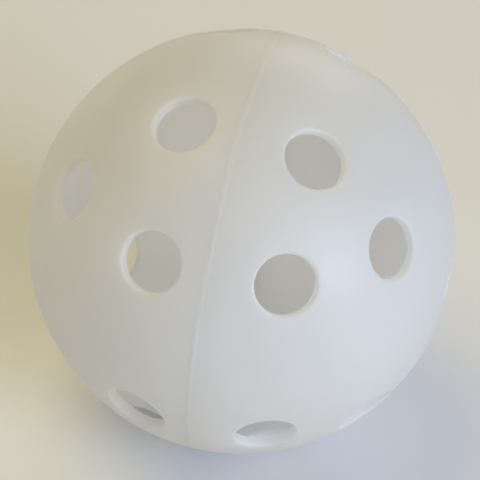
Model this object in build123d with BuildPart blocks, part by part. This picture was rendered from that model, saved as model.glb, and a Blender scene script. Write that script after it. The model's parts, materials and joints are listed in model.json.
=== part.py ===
from build123d import *
from math import cos, radians, sin, sqrt
import os

os.makedirs("parts", exist_ok=True)

# Indoor pickleball ball: two thin moulded half shells with 26 round holes, joined by a weld at the seam.
#
# The origin is the centre of the ball. X runs through the two polar holes, so the seam lies in the YZ
# plane, the left half is on the -X side and the right half on the +X side. +Z is up.
# Lengths are millimetres, angles are degrees.

# Driving dimensions
ball_diameter = 74.0
wall = 1.8
hole_diameter = 10.2
outer_rim_round = 0.5
inner_rim_round = 0.2

# Lap joint: a thin tongue on the left half slides into a lip on the right half, and the weld fills the gaps
tongue_length = 2.5
weld_gap = 0.3
weld_film = 0.1
groove_half_width = 0.45
groove_depth = 0.3
tongue_bevel = 0.25
weld_crown = 0.12
weld_flash = 0.35

# Hole pattern. A latitude is measured from the seam towards the polar hole of the same half. A longitude
# goes round the X axis, from the middle of the four seam holes that face forward and up. The mid ring
# offsets are the turns of the four mid holes away from the middles of their quarters.
quarters = range(4)
quarter_turn = 90.0
pole_latitude = 90.0
right_seam_ring_latitude = 20.1
right_seam_ring_spread = 17.8
right_mid_ring_latitude = 48.3
right_mid_ring_offsets = (-0.8, -0.8, -4.0, -0.8)
left_seam_ring_latitude = 14.9
left_seam_ring_spread = 19.1
left_mid_ring_latitude = 45.4
left_mid_ring_offsets = (3.1, 0.0, -6.6, 0.0)
zero_longitude = 135.0

# Sizes worked out from them
outer_radius = ball_diameter / 2
inner_radius = outer_radius - wall
hole_radius = hole_diameter / 2
joint_radius = (outer_radius + inner_radius) / 2
tongue_radius = joint_radius - weld_film / 2
lip_radius = joint_radius + weld_film / 2
shoulder_x = tongue_length + weld_gap
cut_margin = 1.0
length_tolerance = 0.01


def on_circle(radius, x):
    """The point at axial position x on a circle about the centre of the ball, in the revolved profile."""
    return (x, sqrt(radius**2 - x**2))


def sphere_arc(radius, start_x, end_x):
    """An arc of a revolved profile, centred on the ball, from one axial position to another."""
    return ThreePointArc(
        on_circle(radius, start_x),
        on_circle(radius, (start_x + end_x) / 2),
        on_circle(radius, end_x),
    )


def hole_plane(side, latitude, longitude):
    """A plane across one hole, just inside the shell, facing outwards. side is +1 right, -1 left."""
    around = radians(zero_longitude + longitude)
    tilt = radians(latitude)
    outwards = Vector(side * sin(tilt), cos(tilt) * cos(around), cos(tilt) * sin(around))
    return Plane(origin=outwards * (inner_radius - cut_margin), z_dir=outwards)


def half_pattern(side, seam_latitude, seam_spread, mid_latitude, mid_offsets):
    """The planes of one half's 13 holes: one at the pole, four mid holes and eight in pairs by the seam."""
    planes = [hole_plane(side, pole_latitude, 0)]
    for quarter in quarters:
        middle = quarter_turn * quarter
        planes.append(hole_plane(side, mid_latitude, middle + mid_offsets[quarter]))
        planes.append(hole_plane(side, seam_latitude, middle - seam_spread))
        planes.append(hole_plane(side, seam_latitude, middle + seam_spread))
    return planes


def rim_edges(shell, sphere_radius):
    """The edges where the holes of a shell meet its outer or its inner sphere."""
    round_faces = shell.faces().filter_by(GeomType.CYLINDER)
    hole_walls = round_faces.filter_by(lambda face: abs(face.radius - hole_radius) < length_tolerance)
    return hole_walls.edges().filter_by(
        lambda edge: abs((edge @ 0.5).length - sphere_radius) < length_tolerance
    )


def bore_holes(shell, planes):
    """Cut the holes of the open half shell and round over their rims."""
    with BuildSketch(*planes) as outlines:
        Circle(hole_radius)
    extrude(outlines.sketch, amount=wall + 2 * cut_margin, mode=Mode.SUBTRACT)
    fillet(rim_edges(shell, outer_radius), outer_rim_round)
    fillet(rim_edges(shell, inner_radius), inner_rim_round)


# Left half: the tongue reaches past the seam, under the lip of the right half
left_holes = half_pattern(
    -1, left_seam_ring_latitude, left_seam_ring_spread, left_mid_ring_latitude, left_mid_ring_offsets
)
with BuildPart() as half_shell_left:
    with BuildSketch(Plane.XY):
        with BuildLine():
            sphere_arc(outer_radius, -outer_radius, -groove_half_width)
            Polyline(
                on_circle(outer_radius, -groove_half_width),
                (-weld_gap / 2, outer_radius - groove_depth),
                (-weld_gap / 2, tongue_radius),
                (tongue_length, tongue_radius),
                (tongue_length, on_circle(inner_radius, tongue_length)[1] + tongue_bevel),
                on_circle(inner_radius, tongue_length - tongue_bevel),
            )
            sphere_arc(inner_radius, tongue_length - tongue_bevel, -inner_radius)
            Line((-inner_radius, 0), (-outer_radius, 0))
        make_face()
    revolve(axis=Axis.X)
    bore_holes(half_shell_left, left_holes)
half_shell_left.part.label = "half_shell_left"
export_step(half_shell_left.part, "parts/half_shell_left.step")


# Right half: the lip covers the tongue and ends at the seam, and a shoulder stops the tongue
right_holes = half_pattern(
    1, right_seam_ring_latitude, right_seam_ring_spread, right_mid_ring_latitude, right_mid_ring_offsets
)
with BuildPart() as half_shell_right:
    with BuildSketch(Plane.XY):
        with BuildLine():
            sphere_arc(outer_radius, outer_radius, groove_half_width)
            Polyline(
                on_circle(outer_radius, groove_half_width),
                (weld_gap / 2, outer_radius - groove_depth),
                (weld_gap / 2, lip_radius),
                (shoulder_x, lip_radius),
                (shoulder_x, on_circle(inner_radius, shoulder_x)[1] + tongue_bevel),
                on_circle(inner_radius, shoulder_x + tongue_bevel),
            )
            sphere_arc(inner_radius, shoulder_x + tongue_bevel, inner_radius)
            Line((inner_radius, 0), (outer_radius, 0))
        make_face()
    revolve(axis=Axis.X)
    bore_holes(half_shell_right, right_holes)
half_shell_right.part.label = "half_shell_right"
export_step(half_shell_right.part, "parts/half_shell_right.step")


# Weld: melt that has set in the gap, with a low crown outside, a film between tongue and lip, and a roll
# of flash inside
with BuildPart() as weld_bead:
    with BuildSketch(Plane.XY):
        with BuildLine():
            ThreePointArc(
                on_circle(outer_radius, -groove_half_width),
                (0, outer_radius + weld_crown),
                on_circle(outer_radius, groove_half_width),
            )
            Polyline(
                on_circle(outer_radius, groove_half_width),
                (weld_gap / 2, outer_radius - groove_depth),
                (weld_gap / 2, lip_radius),
                (shoulder_x, lip_radius),
                (shoulder_x, on_circle(inner_radius, shoulder_x)[1] + tongue_bevel),
                on_circle(inner_radius, shoulder_x + tongue_bevel),
            )
            ThreePointArc(
                on_circle(inner_radius, shoulder_x + tongue_bevel),
                on_circle(inner_radius - weld_flash, tongue_length + weld_gap / 2),
                on_circle(inner_radius, tongue_length - tongue_bevel),
            )
            Polyline(
                on_circle(inner_radius, tongue_length - tongue_bevel),
                (tongue_length, on_circle(inner_radius, tongue_length)[1] + tongue_bevel),
                (tongue_length, tongue_radius),
                (-weld_gap / 2, tongue_radius),
                (-weld_gap / 2, outer_radius - groove_depth),
                on_circle(outer_radius, -groove_half_width),
            )
        make_face()
    revolve(axis=Axis.X)
weld_bead.part.label = "weld_bead"
export_step(weld_bead.part, "parts/weld_bead.step")
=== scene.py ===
import json
import math

import bmesh
import bpy
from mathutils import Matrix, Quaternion, Vector, geometry, noise


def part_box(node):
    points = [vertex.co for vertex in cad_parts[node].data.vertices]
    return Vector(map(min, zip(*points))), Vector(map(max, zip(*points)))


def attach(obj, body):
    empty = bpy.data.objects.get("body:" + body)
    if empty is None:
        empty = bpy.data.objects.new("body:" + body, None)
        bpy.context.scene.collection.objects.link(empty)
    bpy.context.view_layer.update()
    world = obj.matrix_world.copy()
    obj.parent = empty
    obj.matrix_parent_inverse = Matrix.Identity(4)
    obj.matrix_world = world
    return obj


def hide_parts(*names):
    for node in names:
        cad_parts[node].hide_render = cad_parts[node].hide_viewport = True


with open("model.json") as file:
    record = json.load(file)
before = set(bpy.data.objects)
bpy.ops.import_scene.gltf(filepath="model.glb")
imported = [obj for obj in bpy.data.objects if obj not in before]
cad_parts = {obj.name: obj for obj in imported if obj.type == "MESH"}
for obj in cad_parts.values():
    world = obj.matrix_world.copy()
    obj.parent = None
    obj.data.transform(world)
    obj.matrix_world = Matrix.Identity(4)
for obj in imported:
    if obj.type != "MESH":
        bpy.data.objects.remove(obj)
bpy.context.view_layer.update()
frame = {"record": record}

# Indoor pickleball ball: two milky half shells and the weld between them, in a small pale studio.
# The origin is the centre of the ball, and X runs through its two polar holes. Lengths are metres, and the
# angles among the named values are degrees.

# ------------------------------------------------------------------ sizes

mm = 0.001
record = frame["record"]
mounts = {mount["name"]: mount for mount in record["mounts"]}

# The groove along the seam, as the design has it
groove_half_width = 0.45 * mm
groove_depth = 0.3 * mm

# The ball, read from the frame. The left half is highest where its skin meets the groove
ball_radius = math.hypot(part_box("half_shell_left")[1].z, groove_half_width)
floor_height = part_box("weld_bead")[0].z
hole_radius = mounts["right_polar_hole"]["dims"]["r_mm"] * mm

# The wall and the rims of its holes, as the design has them
wall = 1.8 * mm
inner_radius = ball_radius - wall
outer_rim_round = 0.5 * mm
inner_rim_round = 0.2 * mm

# The joint. Here the halves meet edge to edge at the weld, because the design's tongue and lip would show
# through the milky wall as a dark band
weld_gap = 0.3 * mm
inner_bevel = 0.25 * mm

# The weld: the design's crown and flash, how far it laps over the skins, and how deep its edges sink in
weld_crown = 0.12 * mm
weld_flash = 0.35 * mm
weld_lap = 0.1 * mm
weld_bite = 0.02 * mm

# How the weld varies along the seam: shares of its crown and flash, how far its middle wanders, and the
# size of each unevenness. The noise places give the flash and the wander patterns of their own
crown_mean = 0.5
crown_swell = 0.35
crown_swell_size = 6 * mm
crown_grain = 0.15
crown_grain_size = 1.5 * mm
flash_mean = 0.8
flash_swell = 0.4
flash_swell_size = 3 * mm
flash_noise_place = Vector((0, 9, 0))
wander = 0.12 * mm
wander_size = 5 * mm
wander_noise_place = Vector((7, 0, 0))

# Moulding marks: slow ripples all over, and a slight sink in the skin along the weld
ripple_height = 0.03 * mm
ripple_size = 9 * mm
fine_ripple_share = 0.5
fine_ripple_ratio = 2.3
sink_depth = 0.015 * mm
sink_width = 1.6 * mm
sink_swell = 0.5
sink_swell_size = 4 * mm

# The mesh of a skin: rings of points near each rim, as (distance from the rim, number of points), and a
# spiral of points over the rest. A point's cell on the spiral is a share of the spacing squared
near_rim_rings = ((0.5 * mm, 72), (1.15 * mm, 60))
skin_spacing = 1.1 * mm
cell_share = 0.866
rim_clearance = 0.7 * skin_spacing
joint_clearance = 0.6 * skin_spacing
ring_joint_clearance = 0.3 * mm

# In a flattened skin, about 1 across, points nearer to each other than this are one
merge_distance = 1e-9

# The mesh of the rims, the joint and the weld. Edges that turn by more than the sharp angle stay crisp
rim_points = 72
rim_arc_steps = 7
joint_points = 360
weld_points = 720
weld_steps = 8
sharp_angle = 35


# ------------------------------------------------------------------ the shape of the shells


def half_of(side):
    return "right" if side > 0 else "left"


def hole_directions(side):
    """The ways from the centre to the holes of one half: its polar hole, then the record's openings."""
    directions = [Vector((side, 0, 0))]
    for opening in record["physics"]["openings"]:
        if opening["name"].startswith(half_of(side)):
            low, high = opening["box_m"]
            directions.append(((Vector(low) + Vector(high)) / 2).normalized())
    return directions


def circle_at(direction, distance, radius, count):
    """Points on a circle round a line through the centre of the ball."""
    across = direction.orthogonal().normalized()
    third = direction.cross(across)
    points = []
    for step in range(count):
        turn = math.tau * step / count
        spoke = across * math.cos(turn) + third * math.sin(turn)
        points.append(direction * distance + spoke * radius)
    return points


def rim_profile():
    """The wall of a hole as (distance out along its axis, radius), from the outer skin to the inner skin."""
    profile = []
    centre_radius = hole_radius + outer_rim_round
    centre_distance = math.sqrt((ball_radius - outer_rim_round) ** 2 - centre_radius**2)
    start = math.atan2(centre_distance, centre_radius)
    for step in range(rim_arc_steps + 1):
        angle = start + (math.pi - start) * step / rim_arc_steps
        out = centre_distance + outer_rim_round * math.sin(angle)
        profile.append((out, centre_radius + outer_rim_round * math.cos(angle)))
    centre_radius = hole_radius + inner_rim_round
    inner_distance = math.sqrt((inner_radius + inner_rim_round) ** 2 - centre_radius**2)
    profile.append(((centre_distance + inner_distance) / 2, hole_radius))
    end = math.atan2(inner_distance, centre_radius) + math.pi
    for step in range(rim_arc_steps + 1):
        angle = math.pi + (end - math.pi) * step / rim_arc_steps
        out = inner_distance + inner_rim_round * math.sin(angle)
        profile.append((out, centre_radius + inner_rim_round * math.cos(angle)))
    return profile


def on_sphere(radius, x):
    """(axial position, distance from the X axis) of a point on a sphere."""
    return (x, math.sqrt(radius**2 - x**2))


def joint_profile(side):
    """The edge of one half at the weld, from the outer skin to the inner skin."""
    return [
        on_sphere(ball_radius, side * groove_half_width),
        (side * weld_gap / 2, ball_radius - groove_depth),
        (side * weld_gap / 2, inner_radius + inner_bevel),
        on_sphere(inner_radius, side * (weld_gap / 2 + inner_bevel)),
    ]


def spread_points(radius, spacing):
    """Points spread evenly over a sphere, on a spiral round the X axis."""
    count = int(4 * math.pi * radius**2 / (cell_share * spacing**2))
    golden = math.pi * (3 - math.sqrt(5))
    points = []
    for step in range(count):
        x = 1 - (2 * step + 1) / count
        across = math.sqrt(1 - x * x)
        turn = golden * step
        points.append(Vector((x, across * math.cos(turn), across * math.sin(turn))) * radius)
    return points


def points_between(side, radius, joint_x, rim_angle, directions):
    """Points inside one skin of a half: rings near each rim, then an even spread over the rest."""
    points = []
    for direction in directions:
        for gap, count in near_rim_rings:
            angle = rim_angle + gap / radius
            near = circle_at(direction, radius * math.cos(angle), radius * math.sin(angle), count)
            points += [point for point in near if side * point.x > joint_x + ring_joint_clearance]
    widest_gap = near_rim_rings[-1][0]
    clear = math.cos(rim_angle + (widest_gap + rim_clearance) / radius)
    for point in spread_points(radius, skin_spacing):
        if side * point.x < joint_x + joint_clearance:
            continue
        if max(point.dot(direction) for direction in directions) < clear * radius:
            points.append(point)
    return points


def flatten(side, radius, point):
    """The point's stereographic projection, seen from the far pole, scaled to about 1."""
    scale = 1 / (radius + side * point.x)
    return Vector((point.y, point.z)) * scale


class MeshMaker:
    """Collects points and faces, then makes one mesh of them."""

    def __init__(self):
        self.points = []
        self.faces = []

    def add(self, points):
        first = len(self.points)
        self.points += [Vector(point) for point in points]
        return list(range(first, len(self.points)))

    def bridge(self, ring, other):
        for step in range(len(ring)):
            after = (step + 1) % len(ring)
            self.faces.append((ring[step], ring[after], other[after], other[step]))

    def skin(self, side, radius, joint_ring, hole_rings, directions):
        """Triangles over one skin of a half, between its joint and the rims of its holes."""
        loops = [joint_ring] + hole_rings
        joint_x = max(side * self.points[index].x for index in joint_ring)
        rim_angle = directions[0].angle(self.points[hole_rings[0][0]])
        ids = [index for loop in loops for index in loop]
        ids += self.add(points_between(side, radius, joint_x, rim_angle, directions))
        place = {index: number for number, index in enumerate(ids)}
        edges = []
        for loop in loops:
            for step in range(len(loop)):
                edges.append((place[loop[step]], place[loop[(step + 1) % len(loop)]]))
        flat = [flatten(side, radius, self.points[index]) for index in ids]
        _, _, triangles, origins, _, _ = geometry.delaunay_2d_cdt(flat, edges, [], 0, merge_distance)
        back = [ids[origin[0]] for origin in origins]
        faces = [tuple(back[corner] for corner in triangle) for triangle in triangles]
        self.keep_skin(faces, hole_rings)

    def keep_skin(self, triangles, hole_rings):
        """Keep the triangles of a skin, apart from those that close a hole, which touch its rim alone."""
        hole_of = {index: number for number, ring in enumerate(hole_rings) for index in ring}
        for triangle in triangles:
            touched = {hole_of.get(index) for index in triangle}
            if len(touched) > 1 or None in touched:
                self.faces.append(triangle)

    def make(self, name, material):
        mesh = bpy.data.meshes.new(name)
        mesh.from_pydata(self.points, [], self.faces)
        shape = bmesh.new()
        shape.from_mesh(mesh)
        bmesh.ops.recalc_face_normals(shape, faces=shape.faces)
        shape.to_mesh(mesh)
        shape.free()
        mesh.shade_smooth()
        mesh.set_sharp_from_angle(angle=math.radians(sharp_angle))
        mesh.materials.append(material)
        piece = bpy.data.objects.new(name, mesh)
        bpy.context.scene.collection.objects.link(piece)
        return piece


def surface_offset(point):
    """How far the moulded surface stands off the sphere: slow ripples, and a slight sink by the weld."""
    fine_ripple = fine_ripple_share * noise.noise(point / ripple_size * fine_ripple_ratio)
    ripple = noise.noise(point / ripple_size) + fine_ripple
    sink = math.exp(-((point.x / sink_width) ** 2))
    unevenness = 1 + sink_swell * noise.noise(point / sink_swell_size)
    return ripple_height * ripple - sink_depth * sink * unevenness


def settle(points):
    for point in points:
        point += point.normalized() * surface_offset(point)


def make_half_shell(side, material):
    maker = MeshMaker()
    directions = hole_directions(side)
    axis = Vector((1, 0, 0))
    joint_rings = [maker.add(circle_at(axis, x, radius, joint_points)) for x, radius in joint_profile(side)]
    for ring, other in zip(joint_rings, joint_rings[1:]):
        maker.bridge(ring, other)
    outer_loops = []
    inner_loops = []
    for direction in directions:
        rings = [maker.add(circle_at(direction, out, radius, rim_points)) for out, radius in rim_profile()]
        for ring, other in zip(rings, rings[1:]):
            maker.bridge(ring, other)
        outer_loops.append(rings[0])
        inner_loops.append(rings[-1])
    maker.skin(side, ball_radius, joint_rings[0], outer_loops, directions)
    maker.skin(side, inner_radius, joint_rings[-1], inner_loops, directions)
    settle(maker.points)
    return maker.make("shell_" + half_of(side), material)


# ------------------------------------------------------------------ the shape of the weld


def bulge(radius, half_width, height, shift):
    """An arched row of points across the weld, from -X to +X, standing off a sphere by up to height."""
    row = []
    for step in range(weld_steps + 1):
        x = half_width * (2 * step / weld_steps - 1)
        arch = math.cos(math.pi / 2 * x / half_width)
        row.append((x + shift * arch, on_sphere(radius, x)[1] + height * arch))
    return row


def weld_profile(crown, shift, flash):
    """The section of the weld: the crown outside, the filled gap, and the roll of flash inside."""
    outside = bulge(ball_radius - weld_bite, groove_half_width + weld_lap, crown, shift)
    inside = bulge(inner_radius + weld_bite, weld_gap / 2 + inner_bevel + weld_lap, -flash, shift)
    right_side = [(weld_gap / 2, ball_radius - groove_depth), (weld_gap / 2, inner_radius + inner_bevel)]
    left_side = [(-x, radius) for x, radius in reversed(right_side)]
    return outside + right_side + inside[::-1] + left_side


def weld_section(place):
    """The section of the weld at a place on the seam, where its crown, its flash and its middle vary."""
    swell = crown_swell * noise.noise(place / crown_swell_size)
    grain = crown_grain * noise.noise(place / crown_grain_size)
    crown = weld_crown * (crown_mean + swell + grain)
    shift = wander * noise.noise(place / wander_size + wander_noise_place)
    roll = flash_swell * noise.noise(place / flash_swell_size + flash_noise_place)
    flash = weld_flash * (flash_mean + roll)
    return weld_profile(crown, shift, flash)


def make_weld(material):
    maker = MeshMaker()
    rings = []
    for step in range(weld_points):
        turn = math.tau * step / weld_points
        spoke = Vector((0, math.cos(turn), math.sin(turn)))
        section = weld_section(spoke * ball_radius)
        rings.append(maker.add([Vector((x, 0, 0)) + spoke * radius for x, radius in section]))
    for step in range(weld_points):
        maker.bridge(rings[step], rings[(step + 1) % weld_points])
    settle(maker.points)
    return maker.make("weld_seam", material)


# ------------------------------------------------------------------ materials

# Milky plastic: the spans of noise that its clouds and its smears use, its surface, and the light in it
cloud_span = (0.35, 0.65)
smear_span = (0.3, 0.7)
plastic_roughness = (0.33, 0.45)
grain_strength = 0.12
grain_height = 0.05 * mm
plastic_ior = 1.5
plastic_gloss = 0.9
milkiness = 0.4
milk_spread = (1.0, 0.95, 0.85)
milk_depth = 0.8 * mm

# Each plastic: its pale tone, its deep tone and the share of its light that passes through. The weld's tones
# are whiter than the shell's: a painted highlight, so that the seam reads as a lighter line
shell_look = ((0.955, 0.953, 0.95), (0.915, 0.912, 0.906), 0.58)
weld_look = ((0.985, 0.985, 0.985), (0.975, 0.975, 0.975), 0.5)

# The studio floor, and how far from its middle its faint glow starts and is full
floor_tones = ((0.85, 0.86, 0.88), (0.87, 0.88, 0.90))
floor_roughness = 0.8
glow_colour = (1.0, 0.95, 0.89)
glow_start = 0.65
glow_full = 1.1
edge_glow = 0.37


def new_material(name):
    material = bpy.data.materials.new(name)
    material.use_nodes = True
    return material, material.node_tree.nodes, material.node_tree.links


def noise_value(nodes, links, place, scale, detail, roughness=0.5):
    """Noise from 0 to 1. Its scale is about the number of its largest features in a metre."""
    node = nodes.new("ShaderNodeTexNoise")
    node.inputs["Scale"].default_value = scale
    node.inputs["Detail"].default_value = detail
    node.inputs["Roughness"].default_value = roughness
    links.new(place, node.inputs["Vector"])
    return node.outputs["Fac"]


def spread(nodes, links, value, span, result):
    """Map a value's span, as (low, high), to a new range, clamped."""
    node = nodes.new("ShaderNodeMapRange")
    for socket, number in zip(("From Min", "From Max", "To Min", "To Max"), (*span, *result)):
        node.inputs[socket].default_value = number
    links.new(value, node.inputs["Value"])
    return node.outputs["Result"]


def blend_tones(nodes, links, share, first, second):
    """A colour between two tones, by a share from 0 to 1."""
    tone = nodes.new("ShaderNodeMix")
    tone.data_type = "RGBA"
    tone.inputs["A"].default_value = (*first, 1)
    tone.inputs["B"].default_value = (*second, 1)
    links.new(share, tone.inputs["Factor"])
    return tone.outputs["Result"]


def milky_plastic(name, pale, deep, through):
    """Satin, milky polyethylene: slow cloudiness, fine grain, and some light passing the thin wall."""
    material, nodes, links = new_material(name)
    shader = nodes["Principled BSDF"]
    place = nodes.new("ShaderNodeTexCoord").outputs["Object"]

    cloud = noise_value(nodes, links, place, scale=55, detail=4, roughness=0.55)
    tone = blend_tones(nodes, links, spread(nodes, links, cloud, cloud_span, (0, 1)), deep, pale)
    links.new(tone, shader.inputs["Base Color"])

    smear = noise_value(nodes, links, place, scale=180, detail=5, roughness=0.6)
    links.new(spread(nodes, links, smear, smear_span, plastic_roughness), shader.inputs["Roughness"])

    grain = noise_value(nodes, links, place, scale=2600, detail=3)
    bump = nodes.new("ShaderNodeBump")
    bump.inputs["Strength"].default_value = grain_strength
    bump.inputs["Distance"].default_value = grain_height
    links.new(grain, bump.inputs["Height"])
    links.new(bump.outputs["Normal"], shader.inputs["Normal"])

    shader.inputs["Subsurface Weight"].default_value = milkiness
    shader.inputs["Subsurface Radius"].default_value = milk_spread
    shader.inputs["Subsurface Scale"].default_value = milk_depth
    shader.inputs["IOR"].default_value = plastic_ior
    shader.inputs["Specular IOR Level"].default_value = plastic_gloss

    glow = nodes.new("ShaderNodeBsdfTranslucent")
    glow.inputs["Color"].default_value = (*pale, 1)
    wall_mix = nodes.new("ShaderNodeMixShader")
    wall_mix.inputs["Fac"].default_value = through
    links.new(shader.outputs["BSDF"], wall_mix.inputs[1])
    links.new(glow.outputs["BSDF"], wall_mix.inputs[2])
    links.new(wall_mix.outputs["Shader"], nodes["Material Output"].inputs["Surface"])
    return material


def floor_material():
    """Pale matt paper. Far from the ball it glows a little, so that no side of the studio is dark."""
    material, nodes, links = new_material("studio_floor")
    shader = nodes["Principled BSDF"]
    place = nodes.new("ShaderNodeTexCoord").outputs["Object"]
    patches = noise_value(nodes, links, place, scale=6, detail=3)
    links.new(blend_tones(nodes, links, patches, *floor_tones), shader.inputs["Base Color"])
    shader.inputs["Roughness"].default_value = floor_roughness
    distance = nodes.new("ShaderNodeVectorMath")
    distance.operation = "LENGTH"
    links.new(place, distance.inputs["Vector"])
    glow = spread(nodes, links, distance.outputs["Value"], (glow_start, glow_full), (0, edge_glow))
    shader.inputs["Emission Color"].default_value = (*glow_colour, 1)
    links.new(glow, shader.inputs["Emission Strength"])
    return material


# ------------------------------------------------------------------ studio

# The floor: its flat radius, the rings of its mesh as shares of that, and the sweep up at its edge
floor_radius = 1.4
floor_rings = (0.1, 0.25, 0.5, 0.75, 1)
floor_sides = 96
edge_rise = 0.25
sweep_steps = 12

# The lights. The world adds a weak, even light
light_distance = 1.0
window_colour = (0.56, 0.745, 1.0)
sky_colour = (0.88, 0.885, 1.0)
room_colour = (1.0, 0.81, 0.27)
wall_colour = (1.0, 0.96, 0.97)
world_colour = (1.0, 0.94, 0.88)
world_strength = 0.11

# The camera. It aims a little to the left of the centre and above it. Its lens and sensor are millimetres
camera_azimuth = 8.61
camera_elevation = 36.04
camera_roll = 7.13
camera_distance = 11 * ball_radius
aim_left = 0.30 * mm
aim_up = 0.16 * mm
lens = 175
sensor_width = 36
clip_start = 0.01


def make_floor():
    """A pale floor whose edge sweeps up all round."""
    maker = MeshMaker()
    profile = [(floor_radius * share, 0) for share in floor_rings]
    for step in range(1, sweep_steps + 1):
        angle = math.pi / 2 * step / sweep_steps
        profile.append((floor_radius + edge_rise * math.sin(angle), edge_rise * (1 - math.cos(angle))))
    up = Vector((0, 0, 1))
    rings = [maker.add(circle_at(up, height, radius, floor_sides)) for radius, height in profile]
    for ring, other in zip(rings, rings[1:]):
        maker.bridge(ring, other)
    maker.faces.append(tuple(rings[0]))
    floor = maker.make("floor", floor_material())
    floor.location.z = floor_height


def make_light(name, azimuth, elevation, size, power, colour):
    """A square area light facing the ball. Azimuth 0 is in front of it, on -Y, and 90 is on +X."""
    data = bpy.data.lights.new(name, "AREA")
    data.shape = "SQUARE"
    data.size = size
    data.energy = power
    data.color = colour
    lamp = bpy.data.objects.new(name, data)
    turn = math.radians(azimuth)
    lift = math.radians(elevation)
    away = Vector((math.cos(lift) * math.sin(turn), -math.cos(lift) * math.cos(turn), math.sin(lift)))
    lamp.location = away * light_distance
    lamp.rotation_mode = "QUATERNION"
    lamp.rotation_quaternion = away.to_track_quat("Z", "Y")
    bpy.context.scene.collection.objects.link(lamp)


def make_lights():
    """Cool daylight on the right, warm room light from the upper left, and a little light from behind."""
    make_light("window", azimuth=62, elevation=17, size=0.5, power=5.2, colour=window_colour)
    make_light("sky", azimuth=45, elevation=35, size=0.8, power=3.1, colour=sky_colour)
    make_light("room", azimuth=-90, elevation=62, size=0.8, power=4.1, colour=room_colour)
    make_light("behind", azimuth=180, elevation=24, size=0.6, power=2.4, colour=wall_colour)
    world = bpy.data.worlds.new("studio")
    world.use_nodes = True
    background = world.node_tree.nodes["Background"]
    background.inputs["Color"].default_value = (*world_colour, 1)
    background.inputs["Strength"].default_value = world_strength
    bpy.context.scene.world = world


def make_camera():
    azimuth = math.radians(camera_azimuth)
    rise = math.tan(math.radians(camera_elevation))
    back = Vector((math.sin(azimuth), -math.cos(azimuth), rise)).normalized()
    turn = Quaternion(back, math.radians(camera_roll)) @ back.to_track_quat("Z", "Y")
    data = bpy.data.cameras.new("camera")
    data.lens = lens
    data.sensor_width = sensor_width
    data.clip_start = clip_start
    camera = bpy.data.objects.new("camera", data)
    camera.rotation_mode = "QUATERNION"
    camera.rotation_quaternion = turn
    camera.location = back * camera_distance - turn @ Vector((aim_left, -aim_up, 0))
    bpy.context.scene.collection.objects.link(camera)
    bpy.context.scene.camera = camera


# ------------------------------------------------------------------ the ball and its studio

make_camera()
shell_plastic = milky_plastic("shell_plastic", *shell_look)
# The weld plastic is whiter than the shell plastic: a painted highlight along the seam
weld_plastic = milky_plastic("weld_plastic", *weld_look)

for side in (-1, 1):
    shell = make_half_shell(side, shell_plastic)
    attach(shell, "root")
    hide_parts("half_shell_" + half_of(side))

weld = make_weld(weld_plastic)
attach(weld, "root")
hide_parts("weld_bead")

make_floor()
make_lights()
bpy.context.scene.view_settings.view_transform = "Standard"
